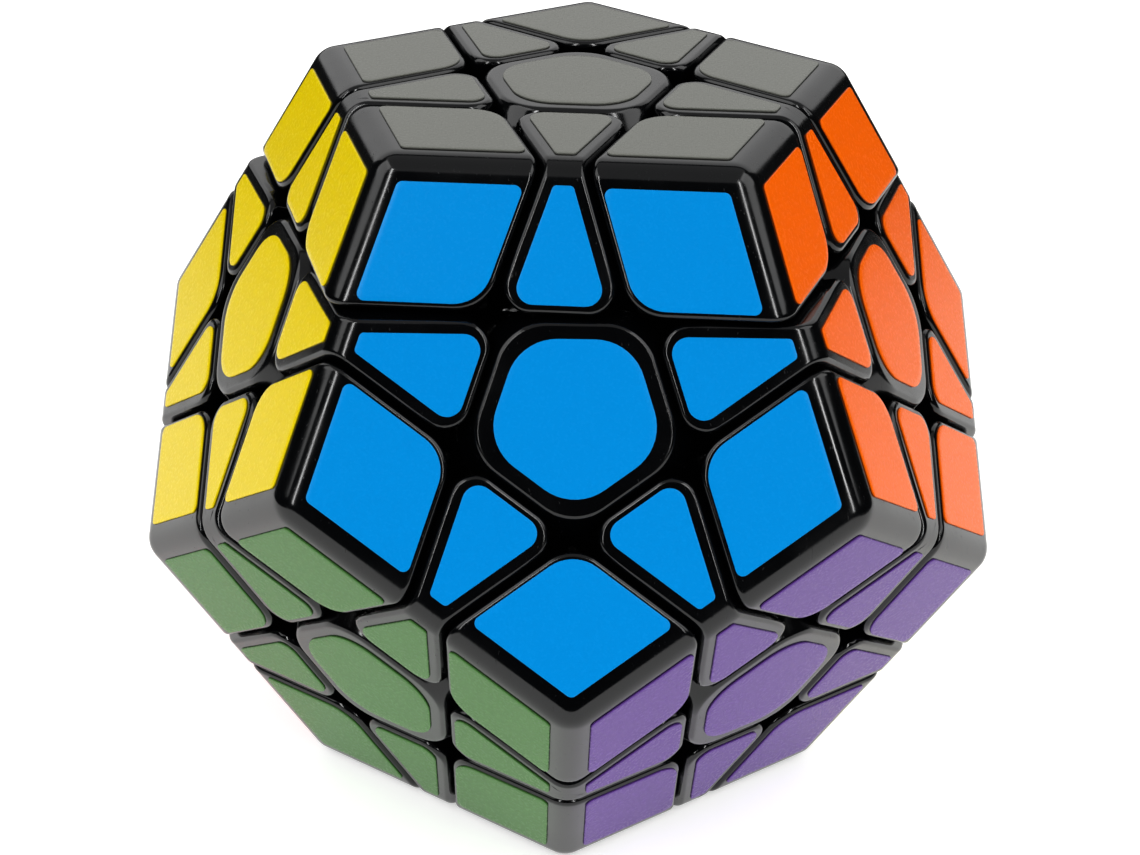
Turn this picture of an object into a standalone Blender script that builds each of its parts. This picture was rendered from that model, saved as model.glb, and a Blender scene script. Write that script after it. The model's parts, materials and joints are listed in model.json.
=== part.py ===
"""A dodecahedron twisty puzzle: twelve faces that each turn in fifths of a turn.

Run it with blender --background --python part.py, or from Blender's text editor.

Twelve centres ride on sprung screws in a spider core. A centre has a cap at the skin and a hub
deep inside, and the feet of its five edges run in the track between them. The feet of the
corners run under the edges. Each layer that turns meets the rest at planes square to its axis
and at a ball about the middle: all feet stay inside that ball, and the skin of edges and centres
stays outside it.

The puzzle stands on its white face at z = 0, with the blue face to the front (-Y).
"""

import math
from itertools import combinations

import bmesh
import bpy
from mathutils import Matrix, Vector

MM = 0.001

# Driving dimensions
ACROSS_FACES = 75.0 * MM  # between opposite faces
CUT_DEPTH = 0.433  # from a side to its cut, measured on the face, as a share of the side
HALF_GAP = 0.2 * MM  # from a cut's middle plane to the wall of a piece
GRAY_TWIST = math.radians(-3.3)  # the gray layer is left this far from square

# Worked out from them
SQRT5 = math.sqrt(5.0)
INRADIUS = ACROSS_FACES / 2
SIDE = 2 * INRADIUS / math.sqrt(2.5 + 1.1 * SQRT5)
FACE_TILT = math.atan(2.0)  # angle between the normals of two neighbouring faces
CUT_HEIGHT = INRADIUS - CUT_DEPTH * SIDE * math.sin(FACE_TILT)
MIDDLE = Vector((0.0, 0.0, INRADIUS))

# The track that holds the feet
FOOT_BALL = 33.2 * MM  # no foot reaches further from the middle
CAP_UNDERSIDE = 33.8 * MM  # flat underside of an edge or a centre at the skin
FOOT_CUT = 21.8 * MM  # the cuts lie this near the middle inside that ball
FOOT_FLOOR = 28.6 * MM  # flat underside of a foot, from the middle
NECK_INSET = 0.15 * MM
NECK_TOP = 35.5 * MM

# The centre's stem, hub and spring well, as heights along its axis from the middle
STEM_RADIUS = 7.2 * MM
STEM_TOP = 36.2 * MM
HUB_BALL = 27.6 * MM
HUB_RADIUS = 12.5 * MM
HUB_UNDERSIDE = 20.8 * MM
WELL_RADIUS = 4.5 * MM
WELL_TOP = 33.7 * MM
SPRING_SEAT = 22.6 * MM
SCREW_HOLE_RADIUS = 2.4 * MM

# The core, its screws and their springs
CORE_RADIUS = 11.0 * MM
ARM_RADIUS = 4.0 * MM
ARM_ROOT = 8.0 * MM
ARM_END = 20.4 * MM
SHANK_RADIUS = 1.9 * MM
HEAD_RADIUS = 3.6 * MM
HEAD_UNDERSIDE = 30.4 * MM
HEAD_TOP = 32.8 * MM
CENTRE_LIFT = 0.8 * MM  # how far a centre can be pulled out against its spring
SPRING_RADIUS = 2.9 * MM
SPRING_WIRE = 0.35 * MM  # radius of the wire
SPRING_CLEARANCE = 0.3 * MM
SPRING_TURNS = 3
SPRING_STEPS = 6  # points to a turn

# Rounded edges, as the distance each takes from the faces beside it
RIDGE_OFFSET = 1.8 * MM
RIM_OFFSET = 0.45 * MM
CORNER_UPRIGHT_OFFSET = 3.1 * MM
EDGE_UPRIGHT_OFFSET = 2.6 * MM
CENTRE_UPRIGHT_OFFSET = 3.9 * MM
ROUND_SEGMENTS = 2
UPRIGHT_SEGMENTS = 2
BEVELLED_ABOVE = math.radians(20)  # edges that bend less than this stay as they are
SHARP_ABOVE = math.radians(30)  # edges that bend more than this are shaded sharp
FLAT_BELOW = math.radians(0.2)
WELD = 0.001 * MM

CENTRE_STEPS = 10  # sides of a stem
ARM_STEPS = 8  # sides of an arm and its screw
BALL_DETAIL = 2  # subdivisions of the icospheres that shape the feet and the core

GLOSS_BLACK = (0.008, 0.008, 0.010, 1.0)
GLOSS_ROUGHNESS = 0.2
CORE_WHITE = (0.70, 0.70, 0.68, 1.0)
CORE_ROUGHNESS = 0.45

UPPER_RING = ("blue", "orange", "lime", "pink", "yellow")
LOWER_RING = ("purple", "cream", "aqua", "red", "green")
TURNING = ("gray", "purple", "red")

# Sixty objects can't hold every piece, so these corners are made in one with an edge beside them.
JOINED = {
    ("orange", "lime", "cream"): ("orange", "lime"),
    ("lime", "pink", "aqua"): ("lime", "pink"),
    ("white", "cream", "aqua"): ("white", "cream"),
}
BRIDGE_SIZE = (2.4 * MM, 4.0 * MM, 4.0 * MM)
BRIDGE_DISTANCE = 38.5 * MM  # from the middle


def face_normals():
    """Outward normal of each face by its colour."""
    normals = {"gray": Vector((0, 0, 1)), "white": Vector((0, 0, -1))}
    for ring, start, side in ((UPPER_RING, -90.0, 1), (LOWER_RING, -54.0, -1)):
        for i, colour in enumerate(ring):
            turn = math.radians(start + 72.0 * i)
            flat = math.sin(FACE_TILT)
            normals[colour] = Vector(
                (flat * math.cos(turn), flat * math.sin(turn), side * math.cos(FACE_TILT))
            )
    return normals


NORMALS = face_normals()


def neighbours(colour):
    normal = NORMALS[colour]
    return [c for c, n in NORMALS.items() if abs(n.dot(normal) - 1 / SQRT5) < 0.01]


def all_touching(colours):
    return all(b in neighbours(a) for a, b in combinations(colours, 2))


def direction(colours):
    return sum((NORMALS[c] for c in colours), Vector()).normalized()


def frame_of(colours):
    """Turns +Z towards the piece and +X towards its first face, or across it on a centre."""
    up = direction(colours)
    towards = NORMALS[colours[0]] if len(colours) > 1 else NORMALS[neighbours(colours[0])[0]]
    across = (towards - up * up.dot(towards)).normalized()
    return Matrix((across, up.cross(across), up)).transposed()


# Planes are (normal, offset), and what is kept lies where normal . x < offset.


def above(colour, height):
    return -NORMALS[colour], -height


def below(colour, height):
    return NORMALS[colour], height


def skin_planes():
    return [below(c, INRADIUS) for c in NORMALS]


def cut_by(bm, planes):
    """Cuts a convex mesh by each plane in turn and closes it again with its convex hull."""
    for normal, offset in planes:
        geometry = bm.verts[:] + bm.edges[:] + bm.faces[:]
        bmesh.ops.bisect_plane(
            bm, geom=geometry, dist=WELD, plane_co=normal * offset, plane_no=normal, clear_outer=True
        )
        bmesh.ops.remove_doubles(bm, verts=bm.verts, dist=WELD)
        bmesh.ops.delete(bm, geom=bm.edges[:] + bm.faces[:], context="EDGES_FACES")
        hull = bmesh.ops.convex_hull(bm, input=bm.verts)
        inside = [g for g in hull["geom_interior"] if isinstance(g, bmesh.types.BMVert)]
        bmesh.ops.delete(bm, geom=inside, context="VERTS")
        bmesh.ops.dissolve_limit(bm, angle_limit=FLAT_BELOW, verts=bm.verts, edges=bm.edges)
    bmesh.ops.recalc_face_normals(bm, faces=bm.faces)


def block(planes):
    bm = bmesh.new()
    bmesh.ops.create_cube(bm, size=4 * INRADIUS)
    cut_by(bm, planes)
    return bm


def foot(planes):
    bm = bmesh.new()
    bmesh.ops.create_icosphere(bm, subdivisions=BALL_DETAIL, radius=FOOT_BALL)
    cut_by(bm, planes)
    return bm


def on_skin(face):
    """True if the face lies on the outside of the puzzle."""
    spot = face.verts[0].co
    return any(
        spot.dot(n) > INRADIUS - WELD and face.normal.angle(n) < FLAT_BELOW for n in NORMALS.values()
    )


def round_off(bm, offset, skin_count, segments):
    """Bevels the edges that lie between this number of skin faces and, for the rest, cut faces."""
    bm.normal_update()
    picked = [
        e
        for e in bm.edges
        if len(e.link_faces) == 2
        and sum(on_skin(f) for f in e.link_faces) == skin_count
        and e.calc_face_angle(0.0) > BEVELLED_ABOVE
    ]
    bmesh.ops.bevel(
        bm, geom=picked, offset=offset, segments=segments, profile=0.5, affect="EDGES", clamp_overlap=True
    )


def rounded_block(planes, upright_offset, underside):
    """The part of a piece at the skin: uprights between two cuts first, then ridges, then rims."""
    bm = block(skin_planes() + planes)
    round_off(bm, upright_offset, 0, UPRIGHT_SEGMENTS)
    round_off(bm, RIDGE_OFFSET, 2, ROUND_SEGMENTS)
    round_off(bm, RIM_OFFSET, 1, 1)
    cut_by(bm, [underside])
    return bm


def mesh_of(bm, name):
    bmesh.ops.recalc_face_normals(bm, faces=bm.faces)
    mesh = bpy.data.meshes.new(name)
    bm.to_mesh(mesh)
    bm.free()
    return mesh


def helper(name, mesh):
    """An object that shapes others and isn't part of the puzzle."""
    obj = bpy.data.objects.new(name, mesh)
    HELPERS.objects.link(obj)
    obj.hide_render = True
    obj.display_type = "WIRE"
    return obj


def turned(name, profile, steps, matrix):
    """A Screw modifier round Z on a profile of (radius, height) points, made a mesh."""
    mesh = bpy.data.meshes.new(name)
    points = [(r, 0.0, z) for r, z in profile]
    mesh.from_pydata(points, [(i, i + 1) for i in range(len(points) - 1)], [])
    obj = helper(name, mesh)
    screw = obj.modifiers.new("Screw", "SCREW")
    screw.angle = math.tau
    screw.steps = screw.render_steps = steps
    screw.use_merge_vertices = True
    screw.merge_threshold = WELD
    made = applied(obj)
    made.transform(matrix)
    return made


def applied(obj):
    """The object's evaluated mesh. The object itself is removed."""
    graph = bpy.context.evaluated_depsgraph_get()
    mesh = bpy.data.meshes.new_from_object(obj.evaluated_get(graph))
    bm = bmesh.new()
    bm.from_mesh(mesh)
    bmesh.ops.remove_doubles(bm, verts=bm.verts, dist=WELD)
    bmesh.ops.recalc_face_normals(bm, faces=bm.faces)
    bm.to_mesh(mesh)
    bm.free()
    bpy.data.objects.remove(obj)
    return mesh


def combined(name, first, others):
    """Boolean of a mesh with others, each given as (operation, mesh)."""
    obj = helper(name, first)
    cutters = []
    for i, (operation, mesh) in enumerate(others):
        cutter = helper(f"{name}_tool_{i}", mesh)
        boolean = obj.modifiers.new(f"{operation} {i}", "BOOLEAN")
        boolean.operation = operation
        boolean.solver = "EXACT"
        boolean.object = cutter
        cutters.append(cutter)
    made = applied(obj)
    for cutter in cutters:
        bpy.data.objects.remove(cutter)
    made.name = name
    return made


def joined(meshes):
    bm = bmesh.new()
    for mesh in meshes:
        bm.from_mesh(mesh)
    return mesh_of(bm, "joined")


def corner_mesh(colours):
    up = direction(colours)
    outer = rounded_block(
        [above(c, CUT_HEIGHT + HALF_GAP) for c in colours], CORNER_UPRIGHT_OFFSET, (-up, -CAP_UNDERSIDE)
    )
    neck = block(
        [above(c, CUT_HEIGHT + HALF_GAP + NECK_INSET) for c in colours]
        + [(-up, -FOOT_FLOOR - NECK_INSET), (up, NECK_TOP)]
    )
    tongue = foot([above(c, FOOT_CUT + HALF_GAP) for c in colours] + [(-up, -FOOT_FLOOR)])
    return combined(
        "corner",
        mesh_of(outer, "corner_outer"),
        [("UNION", mesh_of(neck, "corner_neck")), ("UNION", mesh_of(tongue, "corner_foot"))],
    )


def edge_mesh(colours):
    up = direction(colours)
    ends = [c for c in NORMALS if all(c in neighbours(f) for f in colours)]
    outer = rounded_block(
        [above(c, CUT_HEIGHT + HALF_GAP) for c in colours] + [below(c, CUT_HEIGHT - HALF_GAP) for c in ends],
        EDGE_UPRIGHT_OFFSET,
        (-up, -CAP_UNDERSIDE),
    )
    neck = block(
        [above(c, CUT_HEIGHT + HALF_GAP + NECK_INSET) for c in colours]
        + [below(c, FOOT_CUT - HALF_GAP - NECK_INSET) for c in ends]
        + [(-up, -FOOT_FLOOR - NECK_INSET), (up, NECK_TOP)]
    )
    tongue = foot(
        [above(c, FOOT_CUT + HALF_GAP) for c in colours]
        + [below(c, FOOT_CUT - HALF_GAP) for c in ends]
        + [(-up, -FOOT_FLOOR)]
    )
    return combined(
        "edge",
        mesh_of(outer, "edge_outer"),
        [("UNION", mesh_of(neck, "edge_neck")), ("UNION", mesh_of(tongue, "edge_foot"))],
    )


def stem_profile():
    """Radius and height down the outside of stem and hub, then up the inside of the spring well."""
    return [
        (0.0, STEM_TOP),
        (STEM_RADIUS, STEM_TOP),
        (STEM_RADIUS, math.sqrt(HUB_BALL**2 - STEM_RADIUS**2)),
        (HUB_RADIUS, math.sqrt(HUB_BALL**2 - HUB_RADIUS**2)),
        (HUB_RADIUS, HUB_UNDERSIDE),
        (SCREW_HOLE_RADIUS, HUB_UNDERSIDE),
        (SCREW_HOLE_RADIUS, SPRING_SEAT),
        (WELL_RADIUS, SPRING_SEAT),
        (WELL_RADIUS, WELL_TOP),
        (0.0, WELL_TOP),
    ]


def centre_mesh(colour):
    cap = rounded_block(
        [below(c, CUT_HEIGHT - HALF_GAP) for c in neighbours(colour)],
        CENTRE_UPRIGHT_OFFSET,
        above(colour, CAP_UNDERSIDE),
    )
    stem = turned("centre_stem", stem_profile(), CENTRE_STEPS, frame_of([colour]).to_4x4())
    return combined("centre", mesh_of(cap, "centre_cap"), [("UNION", stem)])


def arm_profile():
    """Radius and height of a screw's head and shank, and of the core's arm that it threads into."""
    return [
        (0.0, HEAD_TOP),
        (HEAD_RADIUS, HEAD_TOP),
        (HEAD_RADIUS, HEAD_UNDERSIDE),
        (SHANK_RADIUS, HEAD_UNDERSIDE),
        (SHANK_RADIUS, ARM_END),
        (ARM_RADIUS, ARM_END),
        (ARM_RADIUS, ARM_ROOT),
        (0.0, ARM_ROOT),
    ]


def spring_mesh(matrix):
    """A helix that hangs from the screw's head, short enough to clear a lifted centre."""
    low = SPRING_SEAT + CENTRE_LIFT + SPRING_CLEARANCE + SPRING_WIRE
    high = HEAD_UNDERSIDE + SPRING_WIRE / 2
    steps = SPRING_TURNS * SPRING_STEPS
    curve = bpy.data.curves.new("spring", "CURVE")
    curve.dimensions = "3D"
    curve.bevel_depth = SPRING_WIRE
    curve.bevel_resolution = 0
    curve.use_fill_caps = True
    spline = curve.splines.new("POLY")
    spline.points.add(steps)
    for i, point in enumerate(spline.points):
        turn = math.tau * i / SPRING_STEPS
        height = low + (high - low) * i / steps
        point.co = (SPRING_RADIUS * math.cos(turn), SPRING_RADIUS * math.sin(turn), height, 1.0)
    mesh = applied(helper("spring", curve))
    mesh.transform(matrix)
    return mesh


def core_mesh():
    """Ball, arms, screws and springs in one."""
    bm = bmesh.new()
    bmesh.ops.create_icosphere(bm, subdivisions=BALL_DETAIL, radius=CORE_RADIUS)
    turns = [frame_of([c]).to_4x4() for c in NORMALS]
    arms = joined([turned("arm", arm_profile(), ARM_STEPS, turn) for turn in turns])
    springs = joined([spring_mesh(turn) for turn in turns])
    return combined("core", mesh_of(bm, "core_ball"), [("UNION", arms), ("UNION", springs)])


def plastic(name, colour, roughness):
    material = bpy.data.materials.new(name)
    material.use_nodes = True
    shader = material.node_tree.nodes["Principled BSDF"]
    shader.inputs["Base Color"].default_value = colour
    shader.inputs["Roughness"].default_value = roughness
    shader.inputs["Metallic"].default_value = 0.0
    material.diffuse_color = colour
    return material


def empty(name, parent=None):
    obj = bpy.data.objects.new(name, None)
    PUZZLE.objects.link(obj)
    obj.empty_display_size = CORE_RADIUS
    obj.parent = parent
    return obj


def finish(mesh, material):
    """Material and shading, once for a mesh that several pieces share."""
    if not mesh.materials:
        mesh.materials.append(material)
        mesh.shade_smooth()
        mesh.set_sharp_from_angle(angle=SHARP_ABOVE)


def add(name, mesh, material, parent):
    obj = bpy.data.objects.new(name, mesh)
    PUZZLE.objects.link(obj)
    obj.parent = parent
    finish(mesh, material)
    return obj


def place(name, mesh, colours, made_for, material, parents):
    """Stands a copy of the mesh, which was made for some faces, on these faces instead."""
    turning = [c for c in colours if c in TURNING]
    obj = add(name, mesh, material, parents[turning[0] if turning else "root"])
    obj.matrix_local = (frame_of(colours) @ frame_of(made_for).transposed()).to_4x4()


def bridged(corner, corner_for, edge, edge_for, at_corner, at_edge):
    """A corner and the edge beside it as one solid, with a block across the cut between them."""
    meshes = []
    for mesh, made_for, colours in ((corner, corner_for, at_corner), (edge, edge_for, at_edge)):
        turned_mesh = mesh.copy()
        turned_mesh.transform((frame_of(colours) @ frame_of(made_for).transposed()).to_4x4())
        meshes.append(turned_mesh)
    across = NORMALS[next(c for c in at_corner if c not in at_edge)]
    side = direction(at_edge).cross(across).normalized()
    spot = across.cross(side)
    middle = across * CUT_HEIGHT + spot * math.sqrt(BRIDGE_DISTANCE**2 - CUT_HEIGHT**2)
    bm = bmesh.new()
    bmesh.ops.create_cube(bm, size=1.0)
    axes = Matrix((across, side, spot)).transposed().to_4x4()
    bmesh.ops.transform(
        bm, verts=bm.verts, matrix=Matrix.Translation(middle) @ axes @ Matrix.Diagonal((*BRIDGE_SIZE, 1.0))
    )
    return combined(
        "bridged", meshes[0], [("UNION", mesh_of(bm, "bridge")), ("UNION", meshes[1])]
    )


def build():
    black = plastic("gloss_black_abs", GLOSS_BLACK, GLOSS_ROUGHNESS)
    white = plastic("white_nylon_and_steel", CORE_WHITE, CORE_ROUGHNESS)
    puzzle = empty("puzzle_middle")
    puzzle.location = MIDDLE
    parents = {"root": puzzle}
    for colour in TURNING:
        parents[colour] = empty(f"{colour}_layer_axis", puzzle)
    parents["gray"].rotation_euler.z = GRAY_TWIST

    edges = [pair for pair in combinations(NORMALS, 2) if all_touching(pair)]
    corners = [triple for triple in combinations(NORMALS, 3) if all_touching(triple)]
    corner, edge, centre = corner_mesh(corners[0]), edge_mesh(edges[0]), centre_mesh("gray")
    taken = {frozenset(c): frozenset(e) for c, e in JOINED.items()}

    add("core_with_screws_and_springs", core_mesh(), white, puzzle)
    for colour in NORMALS:
        place(f"centre_{colour}", centre, [colour], ["gray"], black, parents)
    for pair in edges:
        if frozenset(pair) not in taken.values():
            place("edge_" + "_".join(pair), edge, pair, edges[0], black, parents)
    for triple in corners:
        if frozenset(triple) not in taken:
            place("corner_" + "_".join(triple), corner, triple, corners[0], black, parents)
    for at_corner, at_edge in JOINED.items():
        name = "corner_" + "_".join(at_corner) + "_with_edge_" + "_".join(at_edge)
        add(name, bridged(corner, corners[0], edge, edges[0], at_corner, at_edge), black, puzzle)


for obj in list(bpy.data.objects):
    bpy.data.objects.remove(obj)
PUZZLE = bpy.data.collections.new("dodecahedron_twisty_puzzle")
HELPERS = bpy.data.collections.new("helpers")
bpy.context.scene.collection.children.link(PUZZLE)
bpy.context.scene.collection.children.link(HELPERS)
build()
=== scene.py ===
"""The looks of a dodecahedron twisty puzzle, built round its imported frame.

Every moulded piece is a solid whose flat sides meet in rounded edges. A formula gives the distance
outside such a solid, and a grid of points wrapped round the piece is pushed out along rays from the
piece's heart until that distance is nothing. Stickers, screws, springs and the core are profiles
carried round an outline or an axis. All lengths are in metres, in the frame's own axes.
"""

import json
import math
from itertools import combinations

import bmesh
import bpy
import numpy as np
from mathutils import Matrix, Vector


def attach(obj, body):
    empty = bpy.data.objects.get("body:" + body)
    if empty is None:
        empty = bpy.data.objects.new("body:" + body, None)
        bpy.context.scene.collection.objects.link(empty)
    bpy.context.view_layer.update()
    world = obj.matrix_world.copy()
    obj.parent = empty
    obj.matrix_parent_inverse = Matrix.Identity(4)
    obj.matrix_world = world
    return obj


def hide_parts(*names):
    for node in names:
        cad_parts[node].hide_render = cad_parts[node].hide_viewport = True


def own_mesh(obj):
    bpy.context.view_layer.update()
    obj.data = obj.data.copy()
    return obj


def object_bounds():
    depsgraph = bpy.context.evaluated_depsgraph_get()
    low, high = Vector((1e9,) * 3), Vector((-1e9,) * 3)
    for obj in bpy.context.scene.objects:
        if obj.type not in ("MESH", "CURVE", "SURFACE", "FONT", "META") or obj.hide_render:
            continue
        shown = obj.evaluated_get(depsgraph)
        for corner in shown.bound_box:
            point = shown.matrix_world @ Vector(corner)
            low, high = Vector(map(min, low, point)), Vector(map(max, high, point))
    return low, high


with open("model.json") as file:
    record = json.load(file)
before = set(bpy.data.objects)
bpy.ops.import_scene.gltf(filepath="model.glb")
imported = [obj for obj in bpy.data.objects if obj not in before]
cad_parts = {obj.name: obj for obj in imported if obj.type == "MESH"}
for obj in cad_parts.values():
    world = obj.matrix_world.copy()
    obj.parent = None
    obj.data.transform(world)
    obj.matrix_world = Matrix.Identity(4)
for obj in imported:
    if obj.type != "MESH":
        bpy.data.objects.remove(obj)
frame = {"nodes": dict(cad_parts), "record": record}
cad_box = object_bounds()

MM = 0.001
SQRT5 = math.sqrt(5.0)

# What the frame gives
INRADIUS = (cad_box[1][2] - cad_box[0][2]) / 2
MIDDLE = np.array([0.0, 0.0, cad_box[0][2] + INRADIUS])
SIDE = 2 * INRADIUS / math.sqrt(2.5 + 1.1 * SQRT5)
APOTHEM = SIDE / (2 * math.tan(math.pi / 5))  # from a face's middle to its sides
FACE_TILT = math.atan(2.0)  # angle between the normals of two neighbouring faces

# The cuts and the track that holds the feet, as the frame has them
CUT_DEPTH = 0.433  # from a side to its cut, measured on the face, as a share of the side
CUT_HEIGHT = INRADIUS - CUT_DEPTH * SIDE * math.sin(FACE_TILT)
HALF_GAP = 0.2 * MM
GRAY_TWIST = math.radians(-3.3)
FOOT_BALL = 33.2 * MM
CAP_UNDERSIDE = 33.8 * MM
FOOT_CUT = 21.8 * MM
FOOT_FLOOR = 28.6 * MM
NECK_INSET = 0.15 * MM
NECK_TOP = 35.5 * MM

# Stem, hub, screw and spring, as heights from the middle
STEM_RADIUS = 7.2 * MM
HUB_BALL = 27.6 * MM
HUB_RADIUS = 12.5 * MM
HUB_UNDERSIDE = 20.8 * MM
WELL_RADIUS = 4.5 * MM
WELL_TOP = 33.7 * MM
SPRING_SEAT = 22.6 * MM
SCREW_HOLE_RADIUS = 2.4 * MM
CORE_RADIUS = 11.0 * MM
ARM_RADIUS = 4.0 * MM
ARM_ROOT = 8.0 * MM
ARM_END = 20.4 * MM
SHANK_RADIUS = 1.9 * MM
HEAD_RADIUS = 3.6 * MM
HEAD_UNDERSIDE = 30.4 * MM
HEAD_TOP = 32.8 * MM
SPRING_RADIUS = 2.9 * MM
SPRING_WIRE = 0.35 * MM
SPRING_TURNS = 6.5
SPRING_CLOSED_TURNS = 0.8  # at each end, where the climb is slight
SPRING_SLIGHT_CLIMB = 0.08
SPRING_PLAY = 0.05 * MM
WASHER_THICKNESS = 0.5 * MM
WASHER_PLAY = 0.02 * MM
WASHER_BORE_PLAY = 0.2 * MM
WASHER_WALL_PLAY = 0.3 * MM
THREAD_PITCH = 0.8 * MM
THREAD_DEPTH = 0.3 * MM
HEAD_CROWN = 0.8 * MM
SCREW_REACH = 1.0 * MM  # past the arm's end
ARM_COLLAR = 2.2 * MM
ARM_TAPER = 3.0 * MM
ARM_WAIST = 0.6 * MM
TURNED_EASE = 0.25 * MM  # the round on the corners of turned parts
SCREW_EASE = 0.1 * MM

# Stickers: how far each side lies from the face's sides, as shares of the side
FILM = 0.16 * MM
CORNER_FILM = (0.0686, 0.3967)
EDGE_FILM = (0.0650, 0.3905)
EDGE_FILM_ENDS = 0.4696
CENTRE_FILM = 0.479
# The radius of a corner by how many of its two lines lie away from a side
FILM_RADII = {"corner": (0.020, 0.020, 0.110), "edge": (0.014, 0.045), "centre": (0.140,)}
FILM_EDGE_RADIUS = 0.06 * MM
FILM_UNDER = FILM / 4  # how far a film reaches down into the plastic
FILM_FLAT = 0.9  # the share of the way out to which a film has its innermost ring

# Rounded edges of the moulded pieces
RIDGE_RADIUS = 2.9 * MM
RIM_RADIUS = 0.55 * MM
CORNER_UPRIGHT_RADIUS = 4.6 * MM
EDGE_UPRIGHT_RADIUS = 2.1 * MM
CENTRE_UPRIGHT_RADIUS = 5.6 * MM
HIDDEN_RADIUS = 0.4 * MM

# Heights of the hearts that the rays start from
CORNER_HEART = 39.0 * MM
EDGE_HEART = 38.5 * MM
CAP_HEART = 35.5 * MM
CORNER_NECK_HEART = 33.5 * MM
EDGE_NECK_HEART = 33.0 * MM
FOOT_HEART = 30.5 * MM

# How finely the grids are drawn
ROUND_A_PIECE = 200
ROUND_A_NECK = 36
ROUND_A_FOOT = 72
ROUND_A_SCREW = 40
ROUND_A_BODY = 80
ROUND_THE_CORE = 64
ROUND_A_WIRE = 10
A_TURN_OF_WIRE = 24
PLAIN_ROWS = (4, 3, 3)  # over the top, down the sides and under the base
SKIN_ROWS = (26, 3, 3)
CAP_ROWS = (6, 3, 3)
FOOT_ROWS = (7, 3, 3)
PLAIN_RIM_ROWS = 3
RIM_ROWS = 5
MOST_OF_A_STRETCH = 0.3  # the share of a stretch that the closer rows at an end may take
GATHER = 1.7  # how strongly a top's rows draw in round its middle
ARC_STEPS = 10
FILM_EDGE_STEPS = 4
HALVINGS = 34
NEARLY_PARALLEL = 0.05  # below this determinant, sides have no edge worth rounding
SHARPEST = 0.95  # cosine between two ways past which a rim is no sharper
WELD = 0.2e-3 * MM
TINY = 1e-9  # keeps a division clear of nothing

# Camera, in degrees, and its place as shares of the side: right, up and back from the middle
CAMERA_AZIMUTH = -0.88
CAMERA_ELEVATION = 27.135
CAMERA_ROLL = 1.207
CAMERA_PLACE = (0.0006, -0.0412, 7.4714)
CAMERA_LENS = 74.25  # in millimetres, as is the sensor's width
CAMERA_SENSOR = 36.0

# Soft boxes: name, azimuth and elevation in degrees, distance and size in metres, and radiance.
# A broad one stands low behind, so that the top mirrors it, and the front stays dark but for two
# narrow strips, as the deep black of the ridges needs.
SOFT_BOXES = (
    ("overhead", 0.0, 85.0, 0.9, (1.2, 1.2), 0.4),
    ("back", 180.0, 32.0, 1.1, (2.0, 0.9), 0.85),
    ("front_strip", -30.0, 34.0, 0.9, (0.07, 0.7), 13.0),
    ("side", -78.0, 44.0, 1.0, (0.7, 0.7), 1.85),
    ("front_strip", 30.0, 34.0, 0.9, (0.07, 0.7), 13.0),
    ("side", 78.0, 44.0, 1.0, (0.7, 0.7), 1.85),
)
SHEET_REACH = 0.3  # half the sheet's width, in metres
SHEET_GLOW = 0.42
AIR_IN_REFLECTIONS = 0.03
AIR_BEHIND = 1.3

UPPER_RING = ("blue", "orange", "lime", "pink", "yellow")
LOWER_RING = ("purple", "cream", "aqua", "red", "green")


# ---------------------------------------------------------------------------------------------
# Directions


def face_normals():
    """Outward normal of each face by its colour: two poles and two rings of five between them."""
    normals = {"gray": np.array([0.0, 0.0, 1.0]), "white": np.array([0.0, 0.0, -1.0])}
    flat = math.sin(FACE_TILT)
    for ring, start, side in ((UPPER_RING, -90.0, 1), (LOWER_RING, -54.0, -1)):
        for i, colour in enumerate(ring):
            turn = math.radians(start + 72.0 * i)
            normals[colour] = np.array(
                [flat * math.cos(turn), flat * math.sin(turn), side * math.cos(FACE_TILT)]
            )
    return normals


NORMALS = face_normals()


def neighbours(colour):
    """The five faces beside a face, whose normals make the angle with the cosine 1 / sqrt(5)."""
    return [c for c, n in NORMALS.items() if math.isclose(n @ NORMALS[colour], 1 / SQRT5)]


def ends_of(colours):
    """The two faces that an edge between these two faces points at."""
    return [c for c in NORMALS if all(c in neighbours(f) for f in colours)]


def unit(vector):
    """The vector brought to a length of one."""
    return vector / np.linalg.norm(vector)


def axes_of(colours):
    """Columns across, side and up. Up is the piece's own direction, and across leans to its first
    face, or on a centre to a neighbouring one."""
    up = unit(sum(NORMALS[c] for c in colours))
    towards = NORMALS[colours[0]] if len(colours) > 1 else NORMALS[neighbours(colours[0])[0]]
    across = unit(towards - up * (up @ towards))
    return np.column_stack((across, np.cross(up, across), up))


def placed(points, colours, face=None):
    """Points in the axes of the piece that stands on these colours, or of one face of it, put in
    the frame's axes. The gray layer's pieces get its twist."""
    turn = GRAY_TWIST if "gray" in colours else 0.0
    twist = np.array(Matrix.Rotation(turn, 3, "Z"))
    return MIDDLE + points @ (twist @ axes_of((face,) if face else colours)).T


# ---------------------------------------------------------------------------------------------
# Rounded solids. Each of these returns a function that takes points and returns the distance
# outside a solid and the way in which that distance grows.


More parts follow.
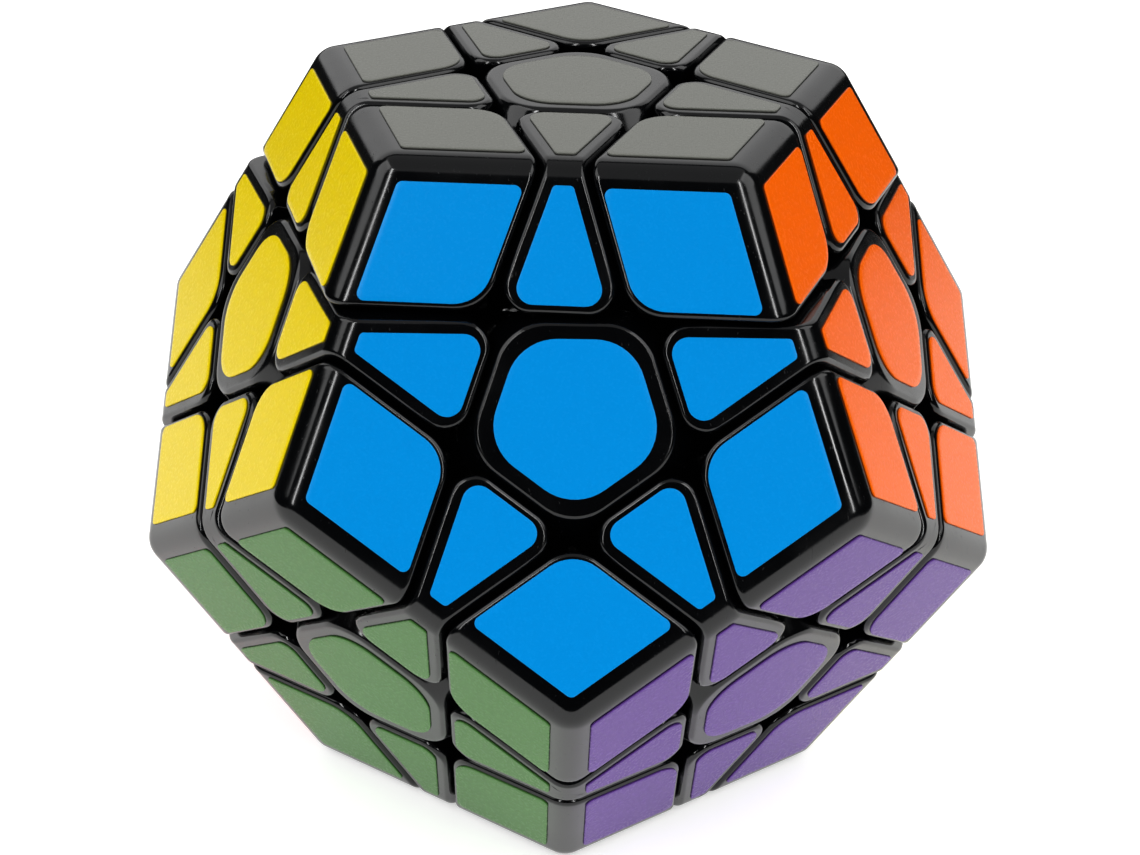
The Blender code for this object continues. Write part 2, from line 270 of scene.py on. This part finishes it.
def flat_sides(normals, heights, radius):
    """Flat sides that meet in rounded edges.

    A point's reach is how far it is past each side drawn in by the radius. It is solved for the
    shares of two or three sides' normals that make it up. Where all the shares are above nothing
    the distance is the length they make less the radius, and elsewhere it is the furthest side's.
    """
    normals = np.asarray(normals)
    drawn_in = np.asarray(heights) - radius

    def distance(points):
        reach = points @ normals.T - drawn_in
        far = reach.max(-1) - radius
        way = normals[reach.argmax(-1)]
        for count in (2, 3):
            for some in combinations(range(len(normals)), count):
                some = list(some)
                angles = normals[some] @ normals[some].T
                if np.linalg.det(angles) < NEARLY_PARALLEL:
                    continue
                share = reach[..., some] @ np.linalg.inv(angles)
                length = np.sqrt(np.maximum((reach[..., some] * share).sum(-1), TINY**2))
                better = (share > 0).all(-1) & (length - radius > far)
                far = np.where(better, length - radius, far)
                way = np.where(better[..., None], share @ normals[some] / length[..., None], way)
        return far, way

    return distance


def ball(radius):
    """A ball round the puzzle's middle."""

    def distance(points):
        length = np.linalg.norm(points, axis=-1)
        return length - radius, points / np.maximum(length, TINY)[..., None]

    return distance


def common(first, second, radius):
    """What two solids share, with a rounded rim where they meet, by the angle between their ways."""

    def distance(points):
        (a, way_a), (b, way_b) = first(points), second(points)
        cosine = np.clip((way_a * way_b).sum(-1), -SHARPEST, SHARPEST)
        u = a + radius
        v = b + radius
        rim = np.sqrt(np.maximum(u * u + v * v - 2 * cosine * u * v, 0) / (1 - cosine**2)) - radius
        on_rim = (u > cosine * v) & (v > cosine * u)
        way = np.where((a > b)[..., None], way_a, way_b)
        leaning = (u - cosine * v)[..., None] * way_a + (v - cosine * u)[..., None] * way_b
        leaning /= np.maximum(np.linalg.norm(leaning, axis=-1), TINY * MM)[..., None]
        return np.where(on_rim, rim, np.maximum(a, b)), np.where(on_rim[..., None], leaning, way)

    return distance


def reached(heart, rays, inside):
    """The point where the solid ends on each ray from the heart, found by halving."""
    near = np.zeros(rays.shape[:-1])
    far = np.full(rays.shape[:-1], 2 * INRADIUS)
    for _ in range(HALVINGS):
        half = (near + far) / 2
        within = inside(heart + rays * half[..., None])
        near = np.where(within, half, near)
        far = np.where(within, far, half)
    return heart + rays * near[..., None]


def meeting_line(heart, turns, group, others, start, stop):
    """Where one group of sides gives way to the others, at each turn about the piece's axis.

    Found by halving the angle down from the axis, between one where the group is what a ray meets
    and one where it isn't.
    """
    low = np.full(len(turns), start)
    high = np.full(len(turns), stop)
    for _ in range(HALVINGS):
        angle = (low + high) / 2
        rays = np.stack(
            (np.sin(angle) * np.cos(turns), np.sin(angle) * np.sin(turns), np.cos(angle)), axis=-1
        )
        hit = reached(heart, rays, lambda p: np.maximum(group(p)[0], others(p)[0]) < 0)
        still = group(hit)[0] > others(hit)[0]
        low = np.where(still, angle, low)
        high = np.where(still, high, angle)
    return hit


def graded(length, rows, fine_rows, fine, both=False, gather=1.0):
    """Shares of a stretch for each row, with closer rows in its last bit, or in both end bits.

    A gather above 1 draws the other rows in towards the start, as a power of their even shares.
    """
    bit = np.minimum(fine / length, MOST_OF_A_STRETCH)
    start = bit if both else np.zeros_like(bit)
    between = start + (1 - bit - start) * np.linspace(0, 1, rows)[:, None] ** gather
    close = 1 - bit + bit * np.linspace(0, 1, fine_rows + 1)[1:, None]
    shares = [between, close]
    if both:
        shares.insert(0, bit * np.linspace(0, 1, fine_rows + 1)[:-1, None])
    return np.concatenate(shares)


def solid(top, sides, base, heart_height, columns, rows=PLAIN_ROWS, rim_rows=PLAIN_RIM_ROWS):
    """Grid of points, rows by columns, on what the three groups of sides share.

    Guide points run straight from the middle of the top to the line where top and sides meet, down
    the sides to the line where they meet the base, and in to the base's middle. Each is then moved
    along its ray from the heart on to the rounded solid.
    """
    heart = np.array([0.0, 0.0, heart_height])
    turns = np.linspace(0, math.tau, columns, endpoint=False)

    def all_but_top(points):
        return np.maximum(sides(points)[0], base(points)[0]), None

    def all_but_base(points):
        return np.maximum(sides(points)[0], top(points)[0]), None

    def inside_all(points):
        return np.maximum(all_but_top(points)[0], top(points)[0]) < 0

    past_level = math.radians(36)  # far enough for the meeting line of any piece
    upper = meeting_line(heart, turns, top, all_but_top, 0.0, math.pi / 2 + past_level)
    lower = meeting_line(heart, turns, base, all_but_base, math.pi, math.pi / 2 - past_level)
    summit, foot = (reached(heart, np.array([[0.0, 0.0, way]]), inside_all) for way in (1.0, -1.0))
    stretches = []
    for start, end, count, gather in (
        (summit, upper, rows[0], GATHER),
        (upper, lower, rows[1], None),
        (foot, lower, rows[2], 1.0),
    ):
        length = np.linalg.norm(end - start, axis=-1)
        shares = graded(length, count, rim_rows, 2 * RIM_RADIUS, gather is None, gather or 1.0)
        stretches.append(start + (end - start) * shares[..., None])
    guide = np.concatenate((stretches[0], stretches[1][1:-1], stretches[2][::-1]))
    rays = guide - heart
    rays /= np.linalg.norm(rays, axis=-1)[..., None]
    whole = common(common(top, sides, RIM_RADIUS), base, HIDDEN_RADIUS)
    return reached(heart, rays, lambda p: whole(p)[0] < 0)


# ---------------------------------------------------------------------------------------------
# Meshes


def wrapped_faces(rows, columns):
    """Four-cornered faces of a grid that closes on itself round its columns, facing outwards."""
    row, column = np.meshgrid(np.arange(rows - 1), np.arange(columns), indexing="ij")
    beside = (column + 1) % columns
    here, below = row * columns, (row + 1) * columns
    corners = (here + column, below + column, below + beside, here + beside)
    return np.stack(corners, axis=-1).reshape(-1, 4)


def closed_mesh(name, grids):
    """One mesh of grids, each closed round its columns and at both ends, where its points are one."""
    mesh = bpy.data.meshes.new(name)
    points, faces, start = [], [], 0
    for grid in grids:
        rows, columns = grid.shape[:2]
        points.append(grid.reshape(-1, 3))
        faces.append(wrapped_faces(rows, columns) + start)
        start += rows * columns
    mesh.from_pydata(np.concatenate(points), [], np.concatenate(faces).tolist())
    weld(mesh)
    mesh.shade_smooth()
    return mesh


def weld(mesh):
    """Makes the points at each pole one, and drops the faces that have shrunk to nothing."""
    bm = bmesh.new()
    bm.from_mesh(mesh)
    bmesh.ops.remove_doubles(bm, verts=bm.verts, dist=WELD)
    bmesh.ops.recalc_face_normals(bm, faces=bm.faces)
    bm.to_mesh(mesh)
    bm.free()


def lathe(profile, columns):
    """A profile of (radius, height) points carried round the local up axis."""
    radius, height = np.array(profile).T
    turns = np.linspace(0, math.tau, columns, endpoint=False)
    return np.stack(
        (
            radius[:, None] * np.cos(turns),
            radius[:, None] * np.sin(turns),
            np.broadcast_to(height[:, None], (len(radius), columns)),
        ),
        axis=-1,
    )


def eased(profile, radius=TURNED_EASE, steps=4):
    """The profile with each corner but its ends cut to a small bend: (1 - t)^2 of where the bend
    starts, 2t(1 - t) of the corner and t^2 of where it ends."""
    points = np.array(profile)
    made = [points[:1]]
    t = np.linspace(0, 1, steps)[:, None]
    most = 0.4  # of the way to the next corner
    for before, here, after in zip(points, points[1:], points[2:]):
        start = here + (before - here) * min(most, radius / max(math.dist(before, here), TINY))
        end = here + (after - here) * min(most, radius / max(math.dist(after, here), TINY))
        made.append((1 - t) ** 2 * start + 2 * t * (1 - t) * here + t**2 * end)
    made.append(points[-1:])
    return np.concatenate(made)


# ---------------------------------------------------------------------------------------------
# The moulded pieces, each in its own axes


def own(colours, of):
    """Normals of some faces in the axes of the piece that stands on these colours."""
    return [NORMALS[c] @ axes_of(colours) for c in of]


def skin_of(colours):
    """The outside of a piece: its faces less the film's thickness, meeting in rounded ridges."""
    return flat_sides(own(colours, colours), [INRADIUS - FILM] * len(colours), RIDGE_RADIUS)


def level(height, upwards=True):
    """A flat top, or a flat underside, square to the piece's axis."""
    sign = 1.0 if upwards else -1.0
    return flat_sides([[0.0, 0.0, sign]], [sign * height], 0.0)


def cuts(colours, above, above_height, below, below_height, radius):
    """Sides that lie above some faces' cuts and below others'."""
    normals = [-n for n in own(colours, above)] + own(colours, below)
    heights = [-above_height] * len(above) + [below_height] * len(below)
    return flat_sides(normals, heights, radius)


NECK_BASE = level(FOOT_FLOOR + NECK_INSET, False)
FOOT_BASE = level(FOOT_FLOOR, False)


def corner_grids():
    """Block, neck and foot. Three faces make the top, and the sides lie above those faces' cuts."""
    colours = ("gray", "blue", "orange")
    walls = cuts(colours, colours, CUT_HEIGHT + HALF_GAP, (), 0, CORNER_UPRIGHT_RADIUS)
    base = level(CAP_UNDERSIDE, False)
    block = solid(skin_of(colours), walls, base, CORNER_HEART, ROUND_A_PIECE, SKIN_ROWS, RIM_ROWS)
    inner = cuts(colours, colours, CUT_HEIGHT + HALF_GAP + NECK_INSET, (), 0, HIDDEN_RADIUS)
    neck = solid(level(NECK_TOP), inner, NECK_BASE, CORNER_NECK_HEART, ROUND_A_NECK)
    track = cuts(colours, colours, FOOT_CUT + HALF_GAP, (), 0, HIDDEN_RADIUS)
    foot = solid(ball(FOOT_BALL), track, FOOT_BASE, FOOT_HEART, ROUND_A_FOOT, FOOT_ROWS)
    return [block, neck, foot]


def edge_grids():
    """Block, neck and foot. Two faces make the top, and the sides lie above those faces' cuts and
    below the cuts of the two faces at the ends."""
    colours = ("gray", "blue")
    ends = ends_of(colours)
    above, below = CUT_HEIGHT + HALF_GAP, CUT_HEIGHT - HALF_GAP
    walls = cuts(colours, colours, above, ends, below, EDGE_UPRIGHT_RADIUS)
    base = level(CAP_UNDERSIDE, False)
    block = solid(skin_of(colours), walls, base, EDGE_HEART, ROUND_A_PIECE, SKIN_ROWS, RIM_ROWS)
    inset = HALF_GAP + NECK_INSET
    inner = cuts(colours, colours, CUT_HEIGHT + inset, ends, FOOT_CUT - inset, HIDDEN_RADIUS)
    neck = solid(level(NECK_TOP), inner, NECK_BASE, EDGE_NECK_HEART, ROUND_A_NECK)
    track = cuts(colours, colours, FOOT_CUT + HALF_GAP, ends, FOOT_CUT - HALF_GAP, HIDDEN_RADIUS)
    foot = solid(ball(FOOT_BALL), track, FOOT_BASE, FOOT_HEART, ROUND_A_FOOT, FOOT_ROWS)
    return [block, neck, foot]


def centre_cap_grids():
    """One face makes the top, and the sides lie below its five neighbours' cuts."""
    colours = ("gray",)
    around = neighbours("gray")
    walls = cuts(colours, (), 0, around, CUT_HEIGHT - HALF_GAP, CENTRE_UPRIGHT_RADIUS)
    base = level(CAP_UNDERSIDE, False)
    return [solid(skin_of(colours), walls, base, CAP_HEART, ROUND_A_PIECE, CAP_ROWS, RIM_ROWS)]


def centre_body_grids():
    """Hub and stem, open downwards as a well for the spring: a profile carried round the axis."""
    stem_top = CAP_UNDERSIDE + MM
    shoulder = [(r, math.sqrt(HUB_BALL**2 - r**2)) for r in np.linspace(STEM_RADIUS, HUB_RADIUS, 6)]
    hole = [(SCREW_HOLE_RADIUS, HUB_UNDERSIDE), (SCREW_HOLE_RADIUS, SPRING_SEAT)]
    well = [(WELL_RADIUS, SPRING_SEAT), (WELL_RADIUS, WELL_TOP), (0, WELL_TOP)]
    outside = [(0, stem_top), (STEM_RADIUS, stem_top), *shoulder, (HUB_RADIUS, HUB_UNDERSIDE)]
    return [lathe(eased(outside + hole + well), ROUND_A_BODY)]


# ---------------------------------------------------------------------------------------------
# Stickers


def film_lines(kind, face, others):
    """The lines that bound a sticker on a face, in the order of their outward directions.

    Each is (outward direction, distance from the face's middle, whether it lies away from a side).
    """
    basis = axes_of((face,))

    def line(colour, depth, inner=False):
        towards = unit((NORMALS[colour] @ basis)[:2])
        offset = APOTHEM - depth * SIDE
        return (-towards, -offset, True) if inner else (towards, offset, False)

    if kind == "centre":
        lines = [line(c, CENTRE_FILM) for c in neighbours(face)]
    elif kind == "corner":
        lines = [line(c, CORNER_FILM[0]) for c in others]
        lines += [line(c, CORNER_FILM[1], True) for c in others]
    else:
        lines = [line(others[0], EDGE_FILM[0]), line(others[0], EDGE_FILM[1], True)]
        lines += [line(c, EDGE_FILM_ENDS) for c in ends_of((face, *others))]
    return sorted(lines, key=lambda each: math.atan2(each[0][1], each[0][0]))


def film_grid(kind, lines):
    """A thin film with rounded corners, lying on z = 0 of its face.

    A corner is an arc about the point that lies its radius inside both its lines, swept from one
    line's direction to the next one's. The film's profile then goes over a small round edge and
    down to the plastic.
    """
    outline, outward = [], []
    for this_line, next_line in zip(lines, lines[1:] + lines[:1]):
        (way, offset, inner), (next_way, next_offset, next_inner) = this_line, next_line
        radius = FILM_RADII[kind][inner + next_inner] * SIDE
        centre = np.linalg.solve([way, next_way], [offset - radius, next_offset - radius])
        begin = math.atan2(way[1], way[0])
        sweep = (math.atan2(next_way[1], next_way[0]) - begin) % math.tau
        angle = begin + sweep * np.linspace(0, 1, ARC_STEPS)
        away = np.stack((np.cos(angle), np.sin(angle)), axis=-1)
        outline.append(centre + radius * away)
        outward.append(away)
    outline = np.concatenate(outline)
    outward = np.concatenate(outward)
    middle = np.broadcast_to(outline.mean(axis=0), outline.shape)
    rise = np.linspace(0, math.pi / 2, FILM_EDGE_STEPS)
    insets = FILM_EDGE_RADIUS * (1 - np.sin(rise))
    heights = FILM - FILM_EDGE_RADIUS * (1 - np.cos(rise))
    rings = [middle, middle + (outline - middle) * FILM_FLAT]
    rings += [outline - outward * inset for inset in insets]
    rings += [outline, middle]
    levels = [FILM, FILM, *heights, -FILM_UNDER, -FILM_UNDER]
    return np.stack([np.column_stack((r, np.full(len(r), z))) for r, z in zip(rings, levels)])


# ---------------------------------------------------------------------------------------------
# Core, screws, washers and springs


def ball_grid(radius, columns):
    """A ball, as a half circle carried round the up axis."""
    bend = np.linspace(0, math.pi, columns // 2 + 1)
    return lathe(np.column_stack((radius * np.sin(bend), radius * np.cos(bend))), columns)


def arm_profile():
    """An arm with a collar at its end, for the screw to thread into."""
    return [
        (0, ARM_END),
        (ARM_RADIUS, ARM_END),
        (ARM_RADIUS, ARM_END - ARM_COLLAR),
        (ARM_RADIUS - ARM_WAIST, ARM_END - ARM_TAPER),
        (ARM_RADIUS - ARM_WAIST / 2, ARM_ROOT + ARM_TAPER),
        (ARM_RADIUS, ARM_ROOT),
        (0, ARM_ROOT),
    ]


def screw_profile():
    """A domed head, and a shank whose thread is drawn as rings."""
    bend = np.linspace(0, math.pi / 2, 6)
    head = [(HEAD_RADIUS * math.sin(a), HEAD_TOP - HEAD_CROWN * (1 - math.cos(a))) for a in bend]
    shank = [(HEAD_RADIUS, HEAD_UNDERSIDE), (SHANK_RADIUS, HEAD_UNDERSIDE)]
    for i in range(int((HEAD_UNDERSIDE - ARM_END) / THREAD_PITCH)):
        height = HEAD_UNDERSIDE - (i + 0.5) * THREAD_PITCH
        root = SHANK_RADIUS - THREAD_DEPTH
        shank += [(SHANK_RADIUS, height), (root, height - THREAD_PITCH / 2)]
    tip = ARM_END - SCREW_REACH
    return head + shank + [(SHANK_RADIUS, tip), (0, tip)]


def washer_profile():
    """A flat ring's profile, closed on itself."""
    low = SPRING_SEAT + WASHER_PLAY
    high = low + WASHER_THICKNESS
    inner = SHANK_RADIUS + WASHER_BORE_PLAY
    outer = WELL_RADIUS - WASHER_WALL_PLAY
    return [(inner, low), (outer, low), (outer, high), (inner, high), (inner, low)]


def spring_grid():
    """A round wire carried along a helix, whose climb is only slight in its closed end turns."""
    low = SPRING_SEAT + WASHER_THICKNESS + SPRING_WIRE + SPRING_PLAY
    high = HEAD_UNDERSIDE - SPRING_WIRE - SPRING_PLAY
    along = np.linspace(0, 1, int(SPRING_TURNS * A_TURN_OF_WIRE))
    turn = math.tau * SPRING_TURNS * along
    open_turns = SPRING_TURNS - 2 * SPRING_CLOSED_TURNS
    steep = np.clip((along * SPRING_TURNS - SPRING_CLOSED_TURNS) / open_turns, 0, 1)
    slight = SPRING_SLIGHT_CLIMB
    climb = low + (high - low) * (slight * along + (1 - slight) * steep)
    path = np.stack((SPRING_RADIUS * np.cos(turn), SPRING_RADIUS * np.sin(turn), climb), axis=-1)
    forward = np.gradient(path, axis=0)
    forward /= np.linalg.norm(forward, axis=1)[:, None]
    out = np.stack((np.cos(turn), np.sin(turn), np.zeros_like(turn)), axis=-1)
    up = np.cross(forward, out)
    around = np.linspace(0, math.tau, ROUND_A_WIRE, endpoint=False)[None, :, None]
    ring = np.cos(around) * out[:, None] + np.sin(around) * up[:, None]
    wire = path[:, None] + SPRING_WIRE * ring
    ends = [np.broadcast_to(p, (1, ROUND_A_WIRE, 3)) for p in (path[0], path[-1])]
    return np.concatenate((ends[0], wire, ends[1]))


# ---------------------------------------------------------------------------------------------
# Materials


def linear(hexed):
    """An sRGB hex value as linear red, green, blue and alpha."""
    parts = [int(hexed[i : i + 2], 16) / 255 for i in (1, 3, 5)]
    return (*(p / 12.92 if p <= 0.04045 else ((p + 0.055) / 1.055) ** 2.4 for p in parts), 1.0)


def put(tree, kind, inputs, output=0, **settings):
    """Adds a node with its settings and returns one of its outputs. An input that is a socket is
    linked, and any other is set."""
    made = tree.nodes.new(kind)
    for name, value in settings.items():
        setattr(made, name, value)
    for name, value in inputs.items():
        if isinstance(value, bpy.types.NodeSocket):
            tree.links.new(value, made.inputs[name])
        else:
            made.inputs[name].default_value = value
    return made.outputs[output]


def material(name, base, roughness, metallic=0.0, ior=1.5):
    """A Principled material with its plain values, its tree, its shader and Object coordinates."""
    made = bpy.data.materials.new(name)
    made.use_nodes = True
    shader = made.node_tree.nodes["Principled BSDF"]
    shader.inputs["Base Color"].default_value = linear(base)
    shader.inputs["Roughness"].default_value = roughness
    shader.inputs["Metallic"].default_value = metallic
    shader.inputs["IOR"].default_value = ior
    where = put(made.node_tree, "ShaderNodeTexCoord", {}, "Object")
    return made, made.node_tree, shader, where


def drift(tree, where, size, low, high, detail=2.0, band=(0.3, 0.7)):
    """A value that drifts between low and high over blotches this many millimetres across."""
    blotches = {"Vector": where, "Scale": 1 / (size * MM), "Detail": detail}
    blotch = put(tree, "ShaderNodeTexNoise", blotches)
    span = {"From Min": band[0], "From Max": band[1], "To Min": low, "To Max": high}
    return put(tree, "ShaderNodeMapRange", {"Value": blotch, **span})


def relief(tree, where, size, detail, strength, depth, **under):
    """A surface that rises and sinks by this depth over blotches this many millimetres across."""
    blotches = {"Vector": where, "Scale": 1 / (size * MM), "Detail": detail}
    height = put(tree, "ShaderNodeTexNoise", blotches)
    rise = {"Height": height, "Strength": strength, "Distance": depth}
    return put(tree, "ShaderNodeBump", {**rise, **under})


def moulded_black_abs():
    """ABS with carbon black, moulded in a polished tool.

    It reads as deep black glass with a faint orange-peel waviness from the mould. Handling has left
    it a little duller in patches, and with fine hairline scratches that run two ways. The real
    hairlines are finer than a picture shows, so they are drawn about 0.3 mm wide.
    """
    made, tree, shader, where = material("moulded_black_abs", "#040507", 0.16, ior=1.54)
    dulled = drift(tree, where, 6.0, 0.11, 0.21, 4.0, (0.35, 0.7))
    for turn in (0.7, 2.1):
        drawn_out = {"Vector": where, "Rotation": (turn, 0.4, turn), "Scale": (30, 30, 1)}
        along = put(tree, "ShaderNodeMapping", drawn_out)
        hairlines = drift(tree, along, 9.0, 0.0, 0.16, band=(0.70, 0.74))
        dulled = put(tree, "ShaderNodeMath", {0: dulled, 1: hairlines}, operation="ADD")
    tree.links.new(dulled, shader.inputs["Roughness"])
    tree.links.new(relief(tree, where, 1.6, 2.0, 0.05, 0.02 * MM), shader.inputs["Normal"])
    return made


def calendered_vinyl(name, base):
    """PVC film, calendered and die cut: an even colour under a satin skin with slight waves.

    Its real grain is finer than a picture shows, so it is drawn 0.35 mm across. Its IOR is below
    that of solid PVC, as a satin skin scatters much of its sheen.
    """
    made, tree, shader, where = material(f"calendered_vinyl_{name}", base, 0.26, ior=1.25)
    tree.links.new(drift(tree, where, 0.35, 0.24, 0.29, 3.0), shader.inputs["Roughness"])
    waves = relief(tree, where, 5.0, 3.0, 0.07, 0.05 * MM)
    grain = relief(tree, where, 0.35, 3.0, 0.02, 0.004 * MM, Normal=waves)
    tree.links.new(grain, shader.inputs["Normal"])
    return made


def natural_nylon():
    """Nylon moulded without pigment: an off-white, waxy satin."""
    made, tree, shader, where = material("natural_nylon", "#dedbd0", 0.45, ior=1.53)
    tree.links.new(drift(tree, where, 2.0, 0.38, 0.52), shader.inputs["Roughness"])
    return made


def zinc_plated_steel():
    """Cold-headed steel with bright zinc, which shows as a cool, slightly cloudy mirror."""
    made, tree, shader, where = material("zinc_plated_steel", "#b9bcc0", 0.3, metallic=1.0)
    tree.links.new(drift(tree, where, 0.8, 0.24, 0.36), shader.inputs["Roughness"])
    return made


def drawn_spring_steel():
    """Hard-drawn wire, darker than the screws, and dulled in patches by the drawing die."""
    made, tree, shader, where = material("drawn_spring_steel", "#8d8f92", 0.35, metallic=1.0)
    tree.links.new(drift(tree, where, 0.4, 0.28, 0.44), shader.inputs["Roughness"])
    return made


def matt_white_paper():
    """Uncoated paper over a light table: an even white with a fine tooth, glowing from below."""
    made, tree, shader, where = material("matt_white_paper", "#f4f4f2", 0.9)
    tree.links.new(relief(tree, where, 1.0, 2.0, 0.05, 0.02 * MM), shader.inputs["Normal"])
    shader.inputs["Emission Color"].default_value = linear("#ffffff")
    shader.inputs["Emission Strength"].default_value = SHEET_GLOW
    return made


FILM_COLOURS = {
    "gray": "#72736d",
    "blue": "#008cd4",
    "orange": "#ff6f00",
    "lime": "#8fd02c",
    "pink": "#ef7fb2",
    "yellow": "#f2d800",
    "purple": "#63428e",
    "cream": "#efe2ad",
    "aqua": "#7bcbe8",
    "red": "#c4161f",
    "green": "#4d793f",
    "white": "#e9eaea",
}


# ---------------------------------------------------------------------------------------------
# Putting it together


def show(name, mesh, skin, body, nodes=()):
    """Links a piece into the scene with its material, its body and what it stands for."""
    piece = bpy.data.objects.new(name, mesh)
    bpy.context.scene.collection.objects.link(piece)
    mesh.materials.append(skin)
    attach(piece, body)
    if nodes:
        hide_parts(*nodes)
    return piece


def body_of(node):
    """The name of the body that a node moves with."""
    bodies = frame["record"]["behaviour"]["bodies"]
    return next(body for body, nodes in bodies.items() if node in nodes)


def build_pieces():
    """The moulded pieces and their stickers. A node's name says which pieces it stands for."""
    black = moulded_black_abs()
    films = {c: calendered_vinyl(c, base) for c, base in FILM_COLOURS.items()}
    shapes = {
        "corner": [("", corner_grids())],
        "edge": [("", edge_grids())],
        "centre": [("_cap", centre_cap_grids()), ("_body", centre_body_grids())],
    }
    for node in frame["nodes"]:
        body = body_of(node)
        for words in node.split("_with_"):
            kind, *colours = words.split("_")
            if kind not in shapes:
                continue
            for ending, grids in shapes[kind]:
                mesh = closed_mesh(f"{kind}{ending}", [placed(g, colours) for g in grids])
                name = "_".join((kind + ending, *colours))
                show(name, mesh, black, body, [node])
            for face in colours:
                others = [c for c in colours if c != face]
                lying = film_grid(kind, film_lines(kind, face, others)) + [0, 0, INRADIUS - FILM]
                mesh = closed_mesh("sticker", [placed(lying, colours, face)])
                name = "_".join(("sticker", kind, face, *others))
                show(name, mesh, films[face], body)


def build_core():
    """Spider core, and on each arm a screw, a washer and a spring."""
    nylon, zinc, wire = natural_nylon(), zinc_plated_steel(), drawn_spring_steel()
    node = "core_with_screws_and_springs"
    root = body_of(node)
    arms = [placed(lathe(eased(arm_profile()), ROUND_A_SCREW), (c,)) for c in NORMALS]
    ball_of_core = MIDDLE + ball_grid(CORE_RADIUS, ROUND_THE_CORE)
    core = closed_mesh("spider_core", [ball_of_core, *arms])
    show("spider_core", core, nylon, root, [node])
    screw_line = eased(screw_profile(), SCREW_EASE, 3)
    for face, normal in NORMALS.items():
        screw = closed_mesh("screw", [placed(lathe(screw_line, ROUND_A_SCREW), (face,))])
        show(f"screw_{face}", screw, zinc, root, [node])
        ring = closed_mesh("washer", [placed(lathe(washer_profile(), ROUND_A_SCREW), (face,))])
        show(f"washer_{face}", ring, zinc, body_of(f"centre_{face}"))
        coil = closed_mesh("spring", [placed(spring_grid(), (face,))])
        piece = show(f"spring_{face}", coil, wire, root, [node])
        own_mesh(piece)


def build_stage():
    """A pale sheet to stand on, pale air behind it, the soft boxes and the camera."""
    mesh = bpy.data.meshes.new("paper_sweep")
    reach = SHEET_REACH
    corners = [(-reach, -reach, 0), (reach, -reach, 0), (reach, reach, 0), (-reach, reach, 0)]
    mesh.from_pydata(corners, [], [(0, 1, 2, 3)])
    mesh.materials.append(matt_white_paper())
    floor = bpy.data.objects.new("paper_sweep", mesh)
    bpy.context.scene.collection.objects.link(floor)

    # The air is pale where it is looked at, and dark in what the glossy pieces mirror
    world = bpy.data.worlds.new("studio")
    bpy.context.scene.world = world
    world.use_nodes = True
    air = world.node_tree
    background = air.nodes["Background"].inputs
    background["Color"].default_value = linear("#ffffff")
    looked_at = put(air, "ShaderNodeLightPath", {}, "Is Camera Ray")
    strength = {"Value": looked_at, "To Min": AIR_IN_REFLECTIONS, "To Max": AIR_BEHIND}
    air.links.new(put(air, "ShaderNodeMapRange", strength), background["Strength"])

    for box in SOFT_BOXES:
        soft_box(*box)
    camera()


def aim(azimuth, elevation):
    """Unit vector from the middle of the puzzle: azimuth 0 is the front, and positive is its right."""
    a, e = math.radians(azimuth), math.radians(elevation)
    return np.array([math.sin(a) * math.cos(e), -math.cos(a) * math.cos(e), math.sin(e)])


def looking_matrix(place, back, roll=0.0):
    """Placed there with the local Z along back, and the local X level but for the roll."""
    right = unit(np.cross([0.0, 0.0, 1.0], back))
    up = np.cross(back, right)
    across = math.cos(roll) * right + math.sin(roll) * up
    turned = np.column_stack((across, np.cross(back, across), back))
    return Matrix([[*row, where] for row, where in zip(turned, place)] + [[0, 0, 0, 1]])


def soft_box(name, azimuth, elevation, distance, size, radiance):
    """A soft box aimed at the puzzle. Its power follows from its size and how bright its face is."""
    light = bpy.data.lights.new(name, "AREA")
    light.shape = "RECTANGLE"
    light.size, light.size_y = size
    light.energy = radiance * size[0] * size[1] * math.pi
    box = bpy.data.objects.new(name, light)
    way = aim(azimuth, elevation)
    box.matrix_world = looking_matrix(MIDDLE + way * distance, way)
    bpy.context.scene.collection.objects.link(box)


def camera():
    """The camera a little left of the front, looking down, and the contrast of its picture."""
    lens = bpy.data.cameras.new("camera")
    lens.sensor_width = CAMERA_SENSOR
    lens.lens = CAMERA_LENS
    seen = bpy.data.objects.new("camera", lens)
    back = aim(CAMERA_AZIMUTH, CAMERA_ELEVATION)
    roll = math.radians(CAMERA_ROLL)
    turned = np.array(looking_matrix(MIDDLE, back, roll))[:3, :2]
    place = MIDDLE + SIDE * (np.column_stack((turned, back)) @ CAMERA_PLACE)
    seen.matrix_world = looking_matrix(place, back, roll)
    bpy.context.scene.collection.objects.link(seen)
    bpy.context.scene.camera = seen
    bpy.context.scene.view_settings.view_transform = "Standard"
    bpy.context.scene.view_settings.look = "Medium High Contrast"


build_pieces()
build_core()
build_stage()
